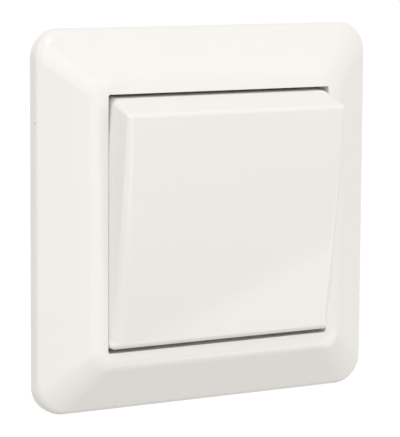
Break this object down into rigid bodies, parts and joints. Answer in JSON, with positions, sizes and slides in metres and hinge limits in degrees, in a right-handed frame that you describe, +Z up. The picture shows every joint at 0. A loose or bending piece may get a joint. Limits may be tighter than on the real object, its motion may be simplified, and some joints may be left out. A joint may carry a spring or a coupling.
{
  "type": "rocker light switch",
  "caption": "White flush-mounted rocker light switch: square hipped cover frame, wedge-shaped rocker, steel mounting plate and changeover insert with push-in terminals",
  "frame": {"origin": "middle of the mounting plate's back face, on the wall's surface, half-way between the two box screws", "axes": "+X to the right along the line of the box screws, +Y into the wall and out of the plate's back, +Z up"},
  "size_m": [0.085, 0.0412, 0.085],
  "materials": {
    "gloss_white": "glossy injection-moulded thermoplastic, white, clean",
    "insert_plastic": "matte moulded thermoset, off-white",
    "mechanism_plastic": "matte moulded polyamide, natural",
    "release_plastic": "matte moulded polyamide, grey",
    "zinc_steel": "stamped sheet steel, zinc plated, bright",
    "rivet_steel": "zinc-plated steel rivet",
    "spring_steel": "bare spring steel",
    "brass": "stamped brass, bare",
    "silver": "silver alloy contact, bare"
  },
  "bodies": {
    "base": {"cover_frame": "gloss_white", "mounting_plate": "zinc_steel", "plate_rivets": "rivet_steel", "insert_base": "insert_plastic", "rear_cover": "insert_plastic", "common_terminal": "brass", "upper_terminal": "brass", "lower_terminal": "brass", "upper_fixed_contact": "silver", "lower_fixed_contact": "silver", "common_clamp_a": "spring_steel", "common_clamp_b": "spring_steel", "upper_clamp_a": "spring_steel", "upper_clamp_b": "spring_steel", "lower_clamp_a": "spring_steel", "lower_clamp_b": "spring_steel"},
    "rocker": {"rocker": "gloss_white", "actuator": "mechanism_plastic", "plunger_spring": "spring_steel"},
    "plunger": {"plunger": "mechanism_plastic"},
    "contact_bridge": {"contact_bridge": "brass", "upper_moving_contact": "silver", "lower_moving_contact": "silver"},
    "common_release": {"common_release": "release_plastic"},
    "upper_release": {"upper_release": "release_plastic"},
    "lower_release": {"lower_release": "release_plastic"}
  },
  "joints": [
    {"name": "rocker_tilt", "type": "hinge", "parent": "base", "child": "rocker", "pos_m": [0, -0.0052, 0], "axis": [-1, 0, 0], "range_deg": [0, 7]},
    {"name": "plunger_slide", "type": "slide", "parent": "rocker", "child": "plunger", "axis": [0, -0.9981, -0.061], "range_m": [0, 0.0008], "stiffness_N_per_m": 300, "springref_m": -0.003, "deforming": ["plunger_spring"]},
    {"name": "bridge_rock", "type": "hinge", "parent": "base", "child": "contact_bridge", "pos_m": [0, 0.01494, 0], "axis": [1, 0, 0], "range_deg": [0, 19]},
    {"name": "common_release_press", "type": "slide", "parent": "base", "child": "common_release", "axis": [0, -1, 0], "range_m": [0, 0.0015], "stiffness_N_per_m": 600, "springref_m": -0.002, "deforming": ["common_clamp_a", "common_clamp_b"]},
    {"name": "upper_release_press", "type": "slide", "parent": "base", "child": "upper_release", "axis": [0, -1, 0], "range_m": [0, 0.0015], "stiffness_N_per_m": 600, "springref_m": -0.002, "deforming": ["upper_clamp_a", "upper_clamp_b"]},
    {"name": "lower_release_press", "type": "slide", "parent": "base", "child": "lower_release", "axis": [0, -1, 0], "range_m": [0, 0.0015], "stiffness_N_per_m": 600, "springref_m": -0.002, "deforming": ["lower_clamp_a", "lower_clamp_b"]}
  ],
  "couplings": [
    {"joint": "bridge_rock", "follows": "rocker_tilt", "ratio": 2.714}
  ]
}
